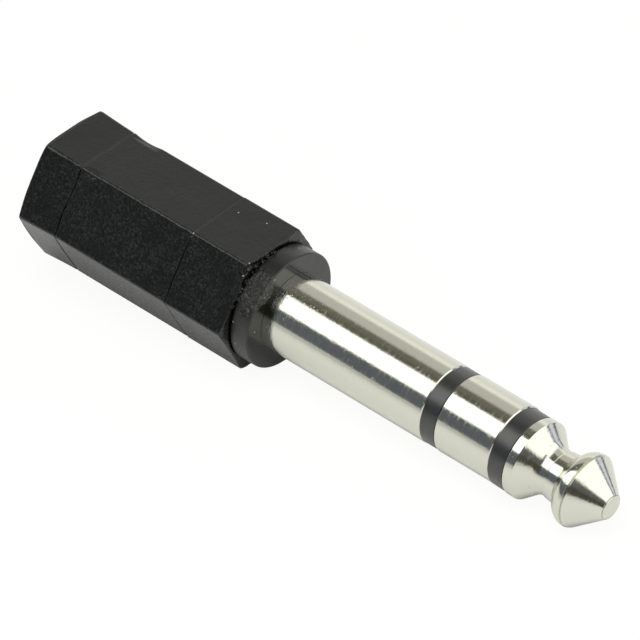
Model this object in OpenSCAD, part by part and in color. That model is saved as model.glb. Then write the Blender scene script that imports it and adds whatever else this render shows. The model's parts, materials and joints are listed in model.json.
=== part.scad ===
// Stereo audio adapter: a 6.35 mm three-contact plug on a six-sided black
// body, with a 3.5 mm three-contact socket in the rear end of that body.
// X runs along the plug towards its tip, +Z is up, and a flat of the body
// faces down. The origin is on the axis at the plug's shoulder, which is the
// front face of the round collar.

/* [Body shell] */
// Distance across the flats of the middle of the shell
body_flats = 10; // [9.6:0.1:12]
// Distance across the flats of the front section
front_flats = 10.06; // [9.7:0.01:12]
// Distance across the flats at the flared rear end
rear_flats = 10.35; // [9.7:0.05:12.5]
// Length of the shell
shell_len = 20.13; // [19.5:0.01:26]
// Length of the flared rear section
rear_section_len = 3.65; // [2:0.05:6]
// Length of the front section
front_section_len = 5.49; // [3:0.01:8]
// Depth of the crown that the front end is turned to
front_crown = 0.28; // [0.1:0.02:0.6]
// Depth of the crown that the rear end is turned to
rear_crown = 0.4; // [0.1:0.05:0.8]
// Height that is turned off each corner
corner_cut = 0.04; // [0:0.01:0.15]
// Width of a witness groove round the flats
witness_w = 0.14; // [0.08:0.02:0.3]
// Depth of a witness groove
witness_depth = 0.05; // [0.02:0.01:0.15]
// Diameter of the bore that holds the inner parts
shell_bore_d = 8; // [7.8:0.05:8.6]
// Thickness of the wall at the rear end
rear_wall = 1.2; // [0.8:0.1:2]

/* [Collar] */
// Diameter of the round collar in front of the shell
collar_d = 9.44; // [8.6:0.02:10]
// Length of the collar that shows
collar_len = 1.42; // [1:0.02:3]
// Width of the groove between the shell and the collar
parting_w = 0.3; // [0.1:0.05:0.6]
// Length of the spigot behind the collar
spigot_len = 1.9; // [1:0.1:3]
// Rounding of the collar's front edge
collar_round = 0.15; // [0.05:0.05:0.5]

/* [Plug contacts] */
// Diameter of the plug
plug_d = 6.35; // [6.2:0.01:6.5]
// Length of the sleeve contact in front of the shoulder
sleeve_len = 15.28; // [12:0.02:18]
// Length of the ring contact
ring_len = 5.14; // [4:0.02:7]
// Bore of the sleeve contact
sleeve_bore_d = 4.7; // [4.5:0.05:5]
// Diameter of the sleeve's shank inside the collar
shank_d = 6; // [5.6:0.05:6.15]
// Diameter of the flange at the sleeve's rear end
flange_d = 7.6; // [6.8:0.1:7.7]
// Thickness of that flange
flange_t = 0.8; // [0.5:0.1:1.2]
// Outer diameter of the ring contact's long tube
ring_tube_d = 3.6; // [3.4:0.05:3.8]
// Bore of the ring contact
ring_bore_d = 2.6; // [2.4:0.05:2.8]
// Diameter of the centre rod
rod_d = 1.6; // [1.2:0.1:1.8]
// Bevel on the edges of the sleeve, ring and tip
edge_bevel = 0.1; // [0.05:0.01:0.2]

/* [Plug insulators] */
// Length of the insulating collar between sleeve and ring
rear_gap_len = 1.35; // [1:0.05:2]
// Length of the insulating collar between ring and tip
front_gap_len = 1.42; // [1:0.02:2]
// Diameter of both insulating collars
insulator_d = 6.27; // [6:0.01:6.35]

/* [Plug tip] */
// Length of the cylinder behind the tip's shoulder
tip_land_len = 0.56; // [0.3:0.02:1.2]
// Rounding of the tip's shoulder
tip_shoulder_r = 0.5; // [0.2:0.05:0.8]
// Diameter of the neck
neck_d = 3.52; // [3:0.02:4.4]
// Radius of the cove that forms the neck
neck_cove_r = 1.1; // [0.8:0.05:1.5]
// Distance from the tip's rear face to the neck's narrowest place
neck_pos = 2.84; // [2.4:0.02:3.2]
// Largest diameter of the head
head_d = 6; // [5.4:0.02:6.2]
// Radius of the head's rounded rim
head_rim_r = 1.14; // [0.7:0.02:1.4]
// Distance from the tip's rear face to the head's widest place
head_pos = 5.06; // [4.7:0.02:5.6]
// Distance from the tip's rear face to the front end of its cone
cone_end_pos = 7.36; // [6.8:0.02:8]
// Diameter of the cone's front end
cone_end_d = 2.64; // [2.4:0.02:3.4]
// Diameter of the riveted nub in front of the cone
nub_d = 2.24; // [1.9:0.02:2.4]
// Length of the nub
nub_len = 0.55; // [0.3:0.05:1]
// Rounding of the nub's edge
nub_round = 0.24; // [0.1:0.02:0.3]

/* [Terminal stack] */
// Thickness of a contact terminal
terminal_t = 0.3; // [0.2:0.05:0.4]
// Diameter of a terminal's washer
terminal_d = 6.4; // [5.8:0.1:6.6]
// Thickness of an insulating washer
washer_t = 0.4; // [0.3:0.05:0.6]
// Diameter of an insulating washer
washer_d = 6.8; // [6.4:0.1:6.9]
// Width of a terminal's leg and of a contact spring
strip_w = 1.4; // [1:0.1:1.6]
// Radius from the axis to the outer face of a leg
leg_r = 3.8; // [3.7:0.02:3.84]
// Length of a leg behind the terminal stack
leg_len = 1.8; // [1.5:0.1:1.8]
// Diameter of the rivet head on the rod's rear end
rivet_d = 2.6; // [2.2:0.1:3]
// Thickness of that rivet head
rivet_t = 0.5; // [0.3:0.1:0.7]

/* [Socket] */
// Diameter of the bore that takes the 3.5 mm plug
socket_bore_d = 3.6; // [3.55:0.01:3.7]
// Depth of the socket from its mouth
socket_depth = 14; // [13.9:0.1:14.3]
// Width of the chamfer at the mouth
mouth_chamfer = 0.3; // [0.1:0.05:0.5]
// Diameter of the bush's barrel and nose
bush_d = 5.2; // [4.8:0.1:5.4]
// Thickness of the bush's flange
bush_flange_t = 0.65; // [0.4:0.05:1]
// Length of the bush's barrel in front of its flange
bush_barrel_len = 2.4; // [1.5:0.1:3]
// Diameter of the moulded socket core
core_d = 7.9; // [7.7:0.05:7.96]
// Diameter of the pocket in the core's front end
core_pocket_d = 5.4; // [4.8:0.1:5.8]
// Clear depth in the pocket in front of the rivet head
core_pocket_spare = 0.5; // [0.1:0.1:0.7]
// Wall between the socket's bore and a spring's channel
channel_wall = 0.55; // [0.4:0.05:0.8]
// Width of a spring's channel
channel_w = 1.8; // [1.7:0.1:2]
// Length of the window that a spring reaches the bore through
window_len = 2.3; // [2:0.1:2.5]
// Depth from the mouth at which the ring spring touches
ring_contact_depth = 8.7; // [8.2:0.1:8.9]
// Depth from the mouth at which the tip spring touches
tip_contact_depth = 11.3; // [11.2:0.1:11.6]
// Thickness of a contact spring
spring_t = 0.25; // [0.15:0.05:0.3]
// Length over which a spring slopes in from its channel to its nose
spring_run = 2.3; // [1.5:0.1:2.3]
// Half the length of the nose that touches the plug
nose_half = 0.35; // [0.25:0.05:0.45]
// Height of the nose
nose_rise = 0.08; // [0.04:0.01:0.12]
// Length of the lip that turns away from the plug behind the nose
lip_len = 0.95; // [0.8:0.05:1]
// Height that the lip rises to
lip_rise = 0.55; // [0.4:0.05:0.65]
// Distance from the core's front end to the strips' front ends
strip_setback = 0.3; // [0.1:0.05:0.5]
// Radius of a solder fillet
solder_r = 0.3; // [0.2:0.05:0.4]

/* [Fits] */
// Clearance on the radius between nested parts
fit_gap = 0.02; // [0.01:0.01:0.03]
// Clearance on the radius from the socket's bore to a spring's nose
touch_gap = 0.05; // [0.03:0.01:0.08]

/* [Hidden] */
$fn = 96;

// Radii of the nested plug parts
plug_r = plug_d / 2;
sleeve_bore_r = sleeve_bore_d / 2;
ring_tube_r = ring_tube_d / 2;
ring_bore_r = ring_bore_d / 2;
rod_r = rod_d / 2;
insulator_r = insulator_d / 2;

// Places along the plug, from the shoulder to the tip
rear_gap_x = sleeve_len;
ring_x = rear_gap_x + rear_gap_len;
front_gap_x = ring_x + ring_len;
tip_x = front_gap_x + front_gap_len;
cone_end_x = tip_x + cone_end_pos;

// Places along the stack behind the shoulder, from the collar to the core
shell_front_x = -collar_len - parting_w;
flange_front_x = shell_front_x - spigot_len;
flange_rear_x = flange_front_x - flange_t;
front_washer_x = flange_rear_x - terminal_t;
ring_terminal_x = front_washer_x - washer_t;
rear_washer_x = ring_terminal_x - terminal_t;
tip_terminal_x = rear_washer_x - washer_t;
core_front_x = tip_terminal_x - terminal_t;

// Places along the shell and the socket
shell_rear_x = shell_front_x - shell_len;
wall_x = shell_rear_x + rear_wall;
core_rear_x = wall_x + bush_flange_t;
barrel_end_x = core_rear_x + bush_barrel_len;
socket_floor_x = shell_rear_x + socket_depth;
rear_witness_x = shell_rear_x + rear_section_len;
front_witness_x = shell_front_x - front_section_len;

// Radii at the shell's ends and corners
shell_bore_r = shell_bore_d / 2;
rear_corner_r = rear_flats / 2 / cos(30) - corner_cut;
body_corner_r = body_flats / 2 / cos(30) - corner_cut;
front_corner_r = front_flats / 2 / cos(30) - corner_cut;

// Radii at the socket
socket_r = socket_bore_d / 2;
bush_r = bush_d / 2;
core_r = core_d / 2;
channel_floor_r = socket_r + channel_wall;
spring_seat_r = leg_r - terminal_t;

// Ends of the legs and the strips, and the middle line of a strip's flat part
leg_end_x = core_front_x - leg_len;
strip_front_x = core_front_x - strip_setback;
strip_mid_r = spring_seat_r - spring_t / 2;

// Middle line of a spring where it touches the plug
touch_r = socket_r + touch_gap + spring_t / 2;

// Angles from the plug's direction at which the arcs of the tip's outline
// begin and end: the shoulder, the neck's cove and the head's rim
shoulder_end = 22;
cove_start = 222;
cove_end = 330;
rim_start = 165;
rim_end = 50;

// Angles round the axis at which the three circuits run
sleeve_side = 0;
ring_side = 120;
tip_side = 240;

// Small length by which a cutting tool runs past the face it cuts
over = 1;

// Points [radius, x] of an arc round a centre given as [radius, x]
function arc(center, r, from, to, steps = 10) = [
    for (i = [0:steps])
        let (a = from + (to - from) * i / steps)
            center + r * [sin(a), cos(a)]
];

// Outline of a bent strip of even thickness, from the points [x, radius] of
// its middle line
function direction(p, i) = (p[i + 1] - p[i]) / norm(p[i + 1] - p[i]);
function corner_offset(p, i) =
    let (
        a = direction(p, max(i - 1, 0)),
        b = direction(p, min(i, len(p) - 2)),
        n = [-a[1] - b[1], a[0] + b[0]]
    )
        n / (n * [-a[1], a[0]]);
function strip(p, t) = concat(
    [for (i = [0:len(p) - 1]) p[i] + corner_offset(p, i) * t / 2],
    [for (i = [len(p) - 1:-1:0]) p[i] - corner_offset(p, i) * t / 2]
);

// A solid turned round the X axis from points [radius, x]
module turned(points) {
    rotate([0, 90, 0]) rotate_extrude() polygon(points);
}

// A round bar or a tube along X
module bar(from, to, r) {
    translate([from, 0, 0]) rotate([0, 90, 0]) cylinder(h = to - from, r = r);
}

module tube(from, to, r, bore_r) {
    difference() {
        bar(from, to, r);
        bar(from - over, to + over, bore_r);
    }
}

// A six-sided bar along X with a flat facing down
module hex_bar(from, to, flats) {
    translate([from, 0, 0]) rotate([0, 90, 0]) rotate([0, 0, 30])
        cylinder(h = to - from, d = flats / cos(30), $fn = 6);
}

// A block along X on one side of the axis, from one radius to another
module side_block(from, to, low_r, high_r, width) {
    translate([from, -width / 2, low_r])
        cube([to - from, width, high_r - low_r]);
}

// The flared rear section, with flats that slope out towards the rear end
module rear_section() {
    flare = (rear_flats - body_flats) / 2;
    length = rear_section_len - witness_w / 2;
    slope = atan(flare / length);
    difference() {
        hex_bar(shell_rear_x, shell_rear_x + length, rear_flats);
        for (i = [0:5])
            rotate([60 * i, 0, 0])
                translate([shell_rear_x + length, 0, body_flats / 2])
                    rotate([0, slope, 0])
                        translate([-2 * length, -rear_flats, 0])
                            cube([2 * length + over, 2 * rear_flats, over]);
    }
}

// The outer form: three sections of flats with a witness groove between
// each pair, then both ends turned to shallow crowns
module shell_form() {
    groove_flats = body_flats - 2 * witness_depth;
    intersection() {
        union() {
            rear_section();
            hex_bar(rear_witness_x - witness_w, front_witness_x + witness_w,
                groove_flats);
            hex_bar(rear_witness_x + witness_w / 2,
                front_witness_x - witness_w / 2, body_flats);
            hex_bar(front_witness_x + witness_w / 2, shell_front_x,
                front_flats);
        }
        turned([
            [0, shell_rear_x],
            [rear_flats / 2, shell_rear_x],
            [rear_corner_r, shell_rear_x + rear_crown],
            [body_corner_r, rear_witness_x],
            [body_corner_r, front_witness_x],
            [front_corner_r, front_witness_x],
            [front_corner_r, shell_front_x - front_crown],
            [front_flats / 2, shell_front_x],
            [0, shell_front_x]
        ]);
    }
}

module hex_shell() {
    color([0.16, 0.16, 0.155])
        difference() {
            shell_form();
            bar(wall_x, shell_front_x + over, shell_bore_r);
            bar(shell_rear_x - over, wall_x + over, bush_r + fit_gap);
        }
}

// The collar and the spigot that closes the front of the shell
module front_collar() {
    r = collar_d / 2;
    color([0.2, 0.2, 0.19])
        difference() {
            union() {
                turned(concat(
                    [[0, -collar_len], [r, -collar_len]],
                    arc([r - collar_round, -collar_round], collar_round, 90, 0, 4),
                    [[0, 0]]
                ));
                bar(flange_front_x, -collar_len, shell_bore_r - fit_gap);
            }
            bar(flange_front_x - over, over, shank_d / 2 + fit_gap);
        }
}

module plug_sleeve() {
    color([0.82, 0.82, 0.8])
        turned([
            [sleeve_bore_r, flange_rear_x],
            [flange_d / 2, flange_rear_x],
            [flange_d / 2, flange_front_x],
            [shank_d / 2, flange_front_x],
            [shank_d / 2, 0],
            [plug_r, 0],
            [plug_r, sleeve_len - edge_bevel],
            [plug_r - edge_bevel, sleeve_len],
            [sleeve_bore_r, sleeve_len]
        ]);
}

// An insulating collar and its long thin tube
module plug_insulator(rear, from, to, tube_r, bore_r) {
    turned([
        [bore_r, rear],
        [tube_r, rear],
        [tube_r, from],
        [insulator_r, from],
        [insulator_r, to],
        [bore_r, to]
    ]);
}

module sleeve_ring_insulator() {
    color([0.1, 0.1, 0.11])
        plug_insulator(front_washer_x, rear_gap_x, ring_x,
            sleeve_bore_r - fit_gap, ring_tube_r + fit_gap);
}

module plug_ring() {
    color([0.82, 0.82, 0.8])
        turned([
            [ring_bore_r, rear_washer_x],
            [ring_tube_r, rear_washer_x],
            [ring_tube_r, ring_x],
            [plug_r - edge_bevel, ring_x],
            [plug_r, ring_x + edge_bevel],
            [plug_r, front_gap_x - edge_bevel],
            [plug_r - edge_bevel, front_gap_x],
            [ring_bore_r, front_gap_x]
        ]);
}

module ring_tip_insulator() {
    color([0.1, 0.1, 0.11])
        plug_insulator(rear_washer_x, front_gap_x, tip_x,
            ring_bore_r - fit_gap, rod_r + fit_gap);
}

// The turned tip: a short land, a coved neck, a rounded head and a cone
module plug_tip() {
    cove_center = [neck_d / 2 + neck_cove_r, tip_x + neck_pos];
    rim_center = [head_d / 2 - head_rim_r, tip_x + head_pos];
    land_center = [plug_r - tip_shoulder_r, tip_x + tip_land_len];
    color([0.82, 0.82, 0.8])
        turned(concat(
            [
                [rod_r + fit_gap, tip_x],
                [plug_r - edge_bevel, tip_x],
                [plug_r, tip_x + edge_bevel]
            ],
            arc(land_center, tip_shoulder_r, 90, shoulder_end),
            arc(cove_center, neck_cove_r, cove_start, cove_end, 14),
            arc(rim_center, head_rim_r, rim_start, rim_end, 18),
            [
                [cone_end_d / 2, cone_end_x],
                [rod_r + fit_gap, cone_end_x]
            ]
        ));
}

// The centre rod, riveted over the tip in front and the stack behind
module tip_rod() {
    rivet_end_x = core_front_x - rivet_t;
    nub_center = [nub_d / 2 - nub_round, cone_end_x + nub_len - nub_round];
    color([0.82, 0.82, 0.8])
        turned(concat(
            [
                [0, rivet_end_x],
                [rivet_d / 2, rivet_end_x],
                [rivet_d / 2, core_front_x],
                [rod_r, core_front_x],
                [rod_r, cone_end_x],
                [nub_d / 2, cone_end_x]
            ],
            arc(nub_center, nub_round, 90, 0, 5),
            [[0, cone_end_x + nub_len]]
        ));
}

// A flat terminal washer with a leg that is bent back along the core
module terminal(from, bore_r, side) {
    rotate([side, 0, 0])
        union() {
            difference() {
                union() {
                    bar(from, from + terminal_t, terminal_d / 2);
                    side_block(from, from + terminal_t, 0, leg_r, strip_w);
                }
                bar(from - over, from + terminal_t + over, bore_r);
            }
            side_block(leg_end_x, from + terminal_t, spring_seat_r, leg_r,
                strip_w);
        }
}

module sleeve_terminal() {
    color([0.72, 0.6, 0.35])
        terminal(front_washer_x, sleeve_bore_r, sleeve_side);
}

module ring_terminal() {
    color([0.72, 0.6, 0.35])
        terminal(rear_washer_x, ring_tube_r + fit_gap, ring_side);
}

module tip_terminal() {
    color([0.72, 0.6, 0.35])
        terminal(core_front_x, rod_r + fit_gap, tip_side);
}

module front_washer() {
    color([0.45, 0.3, 0.2])
        tube(ring_terminal_x, front_washer_x, washer_d / 2,
            ring_tube_r + fit_gap);
}

module rear_washer() {
    color([0.45, 0.3, 0.2])
        tube(tip_terminal_x, rear_washer_x, washer_d / 2, rod_r + fit_gap);
}

// A channel along the core, from a place behind to the core's front end
module channel(from, side) {
    rotate([side, 0, 0])
        side_block(from, core_front_x + over, channel_floor_r, core_r + over,
            channel_w);
}

// The window at the end of a channel that opens it into the bore
module window(contact_x, side) {
    rotate([side, 0, 0])
        side_block(contact_x - window_len / 2, contact_x + window_len / 2,
            0, core_r + over, channel_w);
}

module socket_core() {
    color([0.12, 0.12, 0.12])
        difference() {
            bar(core_rear_x, core_front_x, core_r);
            bar(core_rear_x - over, socket_floor_x, socket_r);
            bar(core_rear_x - over, barrel_end_x, bush_r + fit_gap);
            bar(core_front_x - rivet_t - core_pocket_spare, core_front_x + over,
                core_pocket_d / 2);
            channel(core_rear_x - over, sleeve_side);
            channel(shell_rear_x + ring_contact_depth, ring_side);
            channel(shell_rear_x + tip_contact_depth, tip_side);
            window(shell_rear_x + ring_contact_depth, ring_side);
            window(shell_rear_x + tip_contact_depth, tip_side);
        }
}

module socket_bush() {
    color([0.82, 0.82, 0.8])
        turned([
            [socket_r + mouth_chamfer, shell_rear_x],
            [bush_r, shell_rear_x],
            [bush_r, wall_x],
            [core_r, wall_x],
            [core_r, core_rear_x],
            [bush_r, core_rear_x],
            [bush_r, barrel_end_x],
            [socket_r, barrel_end_x],
            [socket_r, shell_rear_x + mouth_chamfer]
        ]);
}

// A strip that lies under a leg, bent along the points of its middle line
module bent_strip(points, side) {
    rotate([side, 0, 0]) rotate([90, 0, 0])
        linear_extrude(height = strip_w, center = true)
            polygon(strip(points, spring_t));
}

module ground_strip() {
    color([0.75, 0.6, 0.4])
        bent_strip([
            [strip_front_x, strip_mid_r],
            [core_rear_x, strip_mid_r]
        ], sleeve_side);
}

// A contact spring: under its leg and along its channel, in to the bore and
// out again. It leaves the channel behind the solder at the leg's end.
module contact_spring(contact_x, side) {
    bend_x = min(contact_x + spring_run, leg_end_x - solder_r);
    bent_strip([
        [strip_front_x, strip_mid_r],
        [bend_x, strip_mid_r],
        [contact_x + nose_half, touch_r + nose_rise],
        [contact_x, touch_r],
        [contact_x - nose_half, touch_r + nose_rise],
        [contact_x - lip_len, touch_r + lip_rise]
    ], side);
}

module ring_spring() {
    color([0.75, 0.6, 0.4])
        contact_spring(shell_rear_x + ring_contact_depth, ring_side);
}

module tip_spring() {
    color([0.75, 0.6, 0.4])
        contact_spring(shell_rear_x + tip_contact_depth, tip_side);
}

// A fillet of solder in the corner between a leg's end and its strip
module solder_fillet(side) {
    rotate([side, 0, 0])
        intersection() {
            translate([leg_end_x, 0, spring_seat_r]) rotate([90, 0, 0])
                cylinder(h = strip_w, r = solder_r, center = true);
            side_block(leg_end_x - solder_r, leg_end_x, spring_seat_r,
                spring_seat_r + solder_r, strip_w);
        }
}

module sleeve_solder() {
    color([0.7, 0.71, 0.72]) solder_fillet(sleeve_side);
}

module ring_solder() {
    color([0.7, 0.71, 0.72]) solder_fillet(ring_side);
}

module tip_solder() {
    color([0.7, 0.71, 0.72]) solder_fillet(tip_side);
}

hex_shell();
front_collar();
plug_sleeve();
sleeve_ring_insulator();
plug_ring();
ring_tip_insulator();
plug_tip();
tip_rod();
sleeve_terminal();
front_washer();
ring_terminal();
rear_washer();
tip_terminal();
socket_core();
socket_bush();
ground_strip();
ring_spring();
tip_spring();
sleeve_solder();
ring_solder();
tip_solder();
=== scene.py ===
"""Dress a stereo audio adapter: a moulded six-sided body, a turned plug and the stack and socket inside.

Lengths are in millimetres in the classes and become metres when a mesh, material, lamp or camera is made.
"""
import json
import logging
import math
from dataclasses import dataclass, field, replace
from enum import Enum
from typing import Mapping, Sequence, Union

import bpy
from mathutils import Matrix, Vector, noise


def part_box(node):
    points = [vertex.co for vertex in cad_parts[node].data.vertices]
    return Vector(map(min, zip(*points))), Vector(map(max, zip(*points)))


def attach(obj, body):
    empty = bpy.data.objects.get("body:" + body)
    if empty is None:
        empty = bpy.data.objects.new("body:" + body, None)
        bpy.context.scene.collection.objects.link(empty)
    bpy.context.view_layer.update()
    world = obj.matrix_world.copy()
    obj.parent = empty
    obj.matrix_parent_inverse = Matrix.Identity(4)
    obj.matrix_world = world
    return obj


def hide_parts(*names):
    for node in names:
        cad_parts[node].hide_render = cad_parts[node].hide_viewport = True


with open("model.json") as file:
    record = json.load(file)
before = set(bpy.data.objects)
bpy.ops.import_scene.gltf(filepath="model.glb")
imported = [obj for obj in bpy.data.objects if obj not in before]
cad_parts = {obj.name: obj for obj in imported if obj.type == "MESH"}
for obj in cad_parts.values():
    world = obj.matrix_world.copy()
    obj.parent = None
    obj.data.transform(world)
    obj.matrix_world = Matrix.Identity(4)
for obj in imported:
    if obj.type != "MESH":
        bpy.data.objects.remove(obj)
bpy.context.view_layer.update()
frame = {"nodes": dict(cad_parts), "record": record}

LOG = logging.getLogger("adapter")
# Metres in a millimetre, and the stretch that turns object coordinates into millimetres
MM = 0.001
IN_MM = (1000, 1000, 1000)
Triple = tuple[float, float, float]
Colour = Triple
Operand = Union["Term", float, int]


def tone(red: int, green: int, blue: int) -> Colour:
    """Turn a colour written in display values into the linear one that shaders take.

    Args:
        red: Red from 0 to 255.
        green: Green from 0 to 255.
        blue: Blue from 0 to 255.

    Returns:
        The same colour in linear values from 0 to 1.
    """
    def linear(value: int) -> float:
        """Undo the display curve for one channel."""
        share = value / 255
        return share / 12.92 if share <= 0.04045 else ((share + 0.055) / 1.055) ** 2.4
    return linear(red), linear(green), linear(blue)


class Term:
    """A number in a node tree that takes part in Python expressions."""

    def __init__(self, graph: "Graph", socket: bpy.types.NodeSocket) -> None:
        """Wrap one output socket of a graph."""
        self.graph = graph
        self.socket = socket

    def __add__(self, other: Operand) -> "Term":
        """Add."""
        return self.graph.math("ADD", self, other)

    def __radd__(self, other: Operand) -> "Term":
        """Add, with this term on the right."""
        return self.graph.math("ADD", other, self)

    def __sub__(self, other: Operand) -> "Term":
        """Subtract."""
        return self.graph.math("SUBTRACT", self, other)

    def __rsub__(self, other: Operand) -> "Term":
        """Subtract this term from a number."""
        return self.graph.math("SUBTRACT", other, self)

    def __mul__(self, other: Operand) -> "Term":
        """Multiply."""
        return self.graph.math("MULTIPLY", self, other)

    def __rmul__(self, other: Operand) -> "Term":
        """Multiply, with this term on the right."""
        return self.graph.math("MULTIPLY", other, self)

    def __truediv__(self, other: Operand) -> "Term":
        """Divide."""
        return self.graph.math("DIVIDE", self, other)

    def __rtruediv__(self, other: Operand) -> "Term":
        """Divide a number by this term."""
        return self.graph.math("DIVIDE", other, self)

    def __abs__(self) -> "Term":
        """Take the size without its sign."""
        return self.graph.math("ABSOLUTE", self)

    def __gt__(self, other: Operand) -> "Term":
        """Give 1 where this term is the larger one, else 0."""
        return self.graph.math("GREATER_THAN", self, other)

    def __lt__(self, other: Operand) -> "Term":
        """Give 1 where this term is the smaller one, else 0."""
        return self.graph.math("LESS_THAN", self, other)

    def ramp(self, low: float, high: float) -> "Term":
        """Rise smoothly from 0 at one value of this term to 1 at another.

        Args:
            low: Value at which the result is 0.
            high: Value at which the result is 1.

        Returns:
            The eased share.
        """
        settings = {"interpolation_type": "SMOOTHSTEP"}
        return self.graph.term("ShaderNodeMapRange", settings,
                               {"Value": self, "From Min": low, "From Max": high})


class Graph:
    """A node tree under construction, for a material, the world or Geometry Nodes.

    SPECK_CORE is the share of a speck's radius that lies inside its soft rim. MIX_SOCKETS holds the
    numbers of a Mix node's factor, two colours and mixed colour, whose names other sockets have too.
    """

    SPECK_CORE = 0.6
    MIX_SOCKETS = (0, 6, 7, 2)

    def __init__(self, tree: bpy.types.NodeTree) -> None:
        """Start from an empty tree."""
        self.tree = tree
        tree.nodes.clear()

    def node(self, kind: str, settings: Mapping[str, object] | None = None,
             values: Mapping[str | int, object] | None = None) -> bpy.types.Node:
        """Add a node, set it up and fill its sockets.

        Args:
            kind: The node's type name.
            settings: Properties to set first.
            values: What each input holds or is linked to, by name or number.

        Returns:
            The new node.
        """
        made = self.tree.nodes.new(kind)
        for name, value in (settings or {}).items():
            setattr(made, name, value)
        for key, value in (values or {}).items():
            source = value.socket if isinstance(value, Term) else value
            if isinstance(source, bpy.types.NodeSocket):
                self.tree.links.new(source, made.inputs[key])
            else:
                made.inputs[key].default_value = source
        return made

    def term(self, kind: str, settings: Mapping[str, object] | None = None,
             values: Mapping[str | int, object] | None = None, output: str | int = 0) -> Term:
        """Add a node as node() does and give one of its outputs as a term."""
        return Term(self, self.node(kind, settings, values).outputs[output])

    def math(self, operation: str, *operands: Operand) -> Term:
        """Add a Math node on some operands and give its result as a term."""
        return self.term("ShaderNodeMath", {"operation": operation}, dict(enumerate(operands)))

    def blend(self, share: Operand, first: object, second: object) -> Term:
        """Mix two colours.

        Args:
            share: How much of the second colour there is.
            first: Colour or link where the share is 0.
            second: Colour or link where the share is 1.

        Returns:
            The mixed colour.
        """
        def full(colour: object) -> object:
            """Add an alpha of 1 to a plain colour."""
            return (*colour, 1) if isinstance(colour, tuple) else colour
        factor, low, high, result = self.MIX_SOCKETS
        return self.term("ShaderNodeMix", {"data_type": "RGBA"},
                         {factor: share, low: full(first), high: full(second)}, result)

    def place(self, stretch: Triple = (1, 1, 1)) -> Term:
        """Give the place on the piece in metres, stretched along each axis.

        Args:
            stretch: Factor on each coordinate.

        Returns:
            The stretched object coordinates.
        """
        point = self.term("ShaderNodeTexCoord", output="Object")
        return self.term("ShaderNodeMapping", {"vector_type": "POINT"},
                         {"Vector": point, "Scale": stretch})

    def axes(self, vector: Term) -> tuple[Term, Term, Term]:
        """Split a vector into its X, Y and Z."""
        x, y, z = self.node("ShaderNodeSeparateXYZ", None, {0: vector}).outputs
        return Term(self, x), Term(self, y), Term(self, z)

    def round_axis(self, x: Term, radius: Term, angle: Term) -> Term:
        """Give the point at a place along the X axis, a distance from it and an angle round it."""
        return self.term("ShaderNodeCombineXYZ", None, {
            0: x, 1: radius * self.math("COSINE", angle), 2: radius * self.math("SINE", angle)})

    def measure(self, operation: str, first: object, second: object) -> Term:
        """Add a Vector Math node on two vectors, such as DISTANCE, and give its number."""
        return self.term("ShaderNodeVectorMath", {"operation": operation},
                         {0: first, 1: second}, "Value")

    def cloud(self, size: float, detail: float = 3, stretch: Triple = (1, 1, 1)) -> Term:
        """Add noise from 0 to 1, with patches of a size in millimetres and a number of finer layers."""
        return self.term("ShaderNodeTexNoise", None,
                         {"Vector": self.place(stretch), "Scale": 1 / (size * MM), "Detail": detail})

    def specks(self, spacing: float, size: float, share: Operand) -> Term:
        """Mark a few small round specks.

        Args:
            spacing: Typical distance between the cells that can hold a speck, in millimetres.
            size: Speck radius as a share of that distance.
            share: Share of the cells that hold one.

        Returns:
            1 on a speck and 0 elsewhere.
        """
        cells = self.node("ShaderNodeTexVoronoi", None,
                          {"Vector": self.place(), "Scale": 1 / (spacing * MM)})
        chance = self.term("ShaderNodeSeparateColor", None, {0: cells.outputs["Color"]})
        near = Term(self, cells.outputs["Distance"])
        return (1 - near.ramp(size * self.SPECK_CORE, size)) * (chance < share)

    def relief(self, height: Term, depth: float, below: Term | None = None) -> Term:
        """Turn a pattern into a bump.

        Args:
            height: The pattern.
            depth: Height in millimetres that a value of 1 stands for.
            below: An earlier bump that this one adds to.

        Returns:
            The bent normal.
        """
        values: dict[str | int, object] = {"Height": height, "Distance": depth * MM}
        if below is not None:
            values["Normal"] = below
        return self.term("ShaderNodeBump", None, values)


def new_material(name: str) -> tuple[bpy.types.Material, Graph]:
    """Make an empty node material.

    Args:
        name: The material's name.

    Returns:
        The material and its graph.
    """
    made = bpy.data.materials.new(name)
    made.use_nodes = True
    return made, Graph(made.node_tree)


def finish_surface(graph: Graph, values: Mapping[str | int, object]) -> None:
    """Close a surface graph with its shader and output.

    Args:
        graph: The material's graph.
        values: Inputs of the shader by name.
    """
    shader = graph.node("ShaderNodeBsdfPrincipled", None, values)
    graph.node("ShaderNodeOutputMaterial", None, {"Surface": shader.outputs[0]})


def scaled(values: Triple, factor: float) -> Triple:
    """Multiply the three values of a colour or a place by one factor."""
    first, second, third = values
    return first * factor, second * factor, third * factor


def around(x: float, radius: float, angle: float) -> Triple:
    """Give the point at a place along the X axis, a distance from it and an angle round it in degrees."""
    turn = math.radians(angle)
    return x, radius * math.cos(turn), radius * math.sin(turn)


class Slot(str, Enum):
    """The record's material slots."""

    SHELL = "shell_plastic"
    COLLAR = "collar_plastic"
    NICKEL = "nickel_plate"
    INSULATOR = "insulator_plastic"
    BRASS = "terminal_brass"
    BOARD = "washer_board"
    CORE = "core_plastic"
    BUSH = "bush_nickel"
    BRONZE = "spring_bronze"
    SOLDER = "solder"


@dataclass
class Surface:
    """A surface under construction, which features change one after the other."""

    graph: Graph
    colour: Term
    roughness: Term
    normal: Term


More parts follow.
